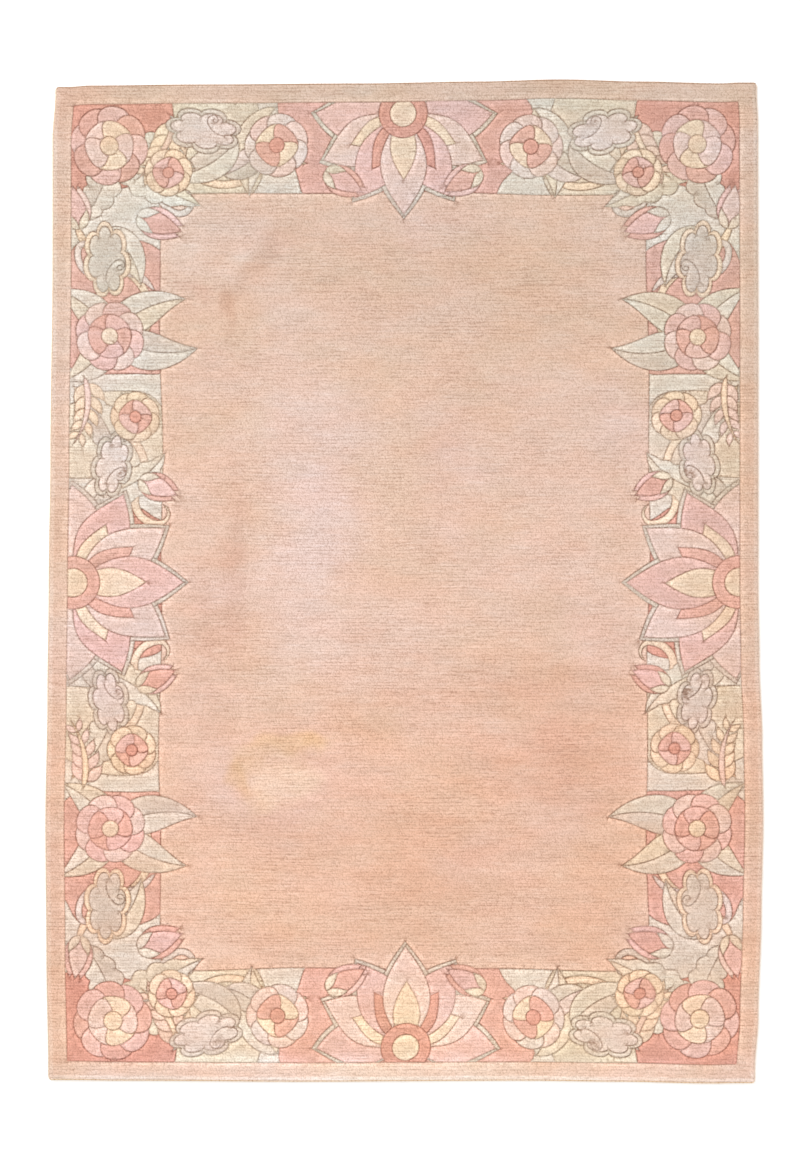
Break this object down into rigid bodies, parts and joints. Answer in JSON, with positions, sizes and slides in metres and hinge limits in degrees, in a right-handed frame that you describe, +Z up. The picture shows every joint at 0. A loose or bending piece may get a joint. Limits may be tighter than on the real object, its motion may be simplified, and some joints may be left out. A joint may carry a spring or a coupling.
{
  "type": "nepalese rug",
  "caption": "Hand-knotted wool pile rug with a plain field, a carved flower border and overcast edges, lying flat.",
  "frame": {"origin": "on the floor under the middle of the rug's outline", "axes": "+Y along the rug's length to its top edge in the picture, +X to its right-hand edge, +Z up out of the pile"},
  "size_m": [1.726, 2.412, 0.014],
  "materials": {
    "wool_pile": "cut wool pile, matt, peach pink field with a border of sage, rose, cream and grey",
    "overcast_yarn": "wool and cotton yarn wound over the edge, matt, cream beige"
  },
  "bodies": {
    "root": {"pile_rug": "wool_pile", "binding_bottom": "overcast_yarn", "selvedge_right": "overcast_yarn", "binding_top": "overcast_yarn", "selvedge_left": "overcast_yarn"}
  },
  "joints": []
}
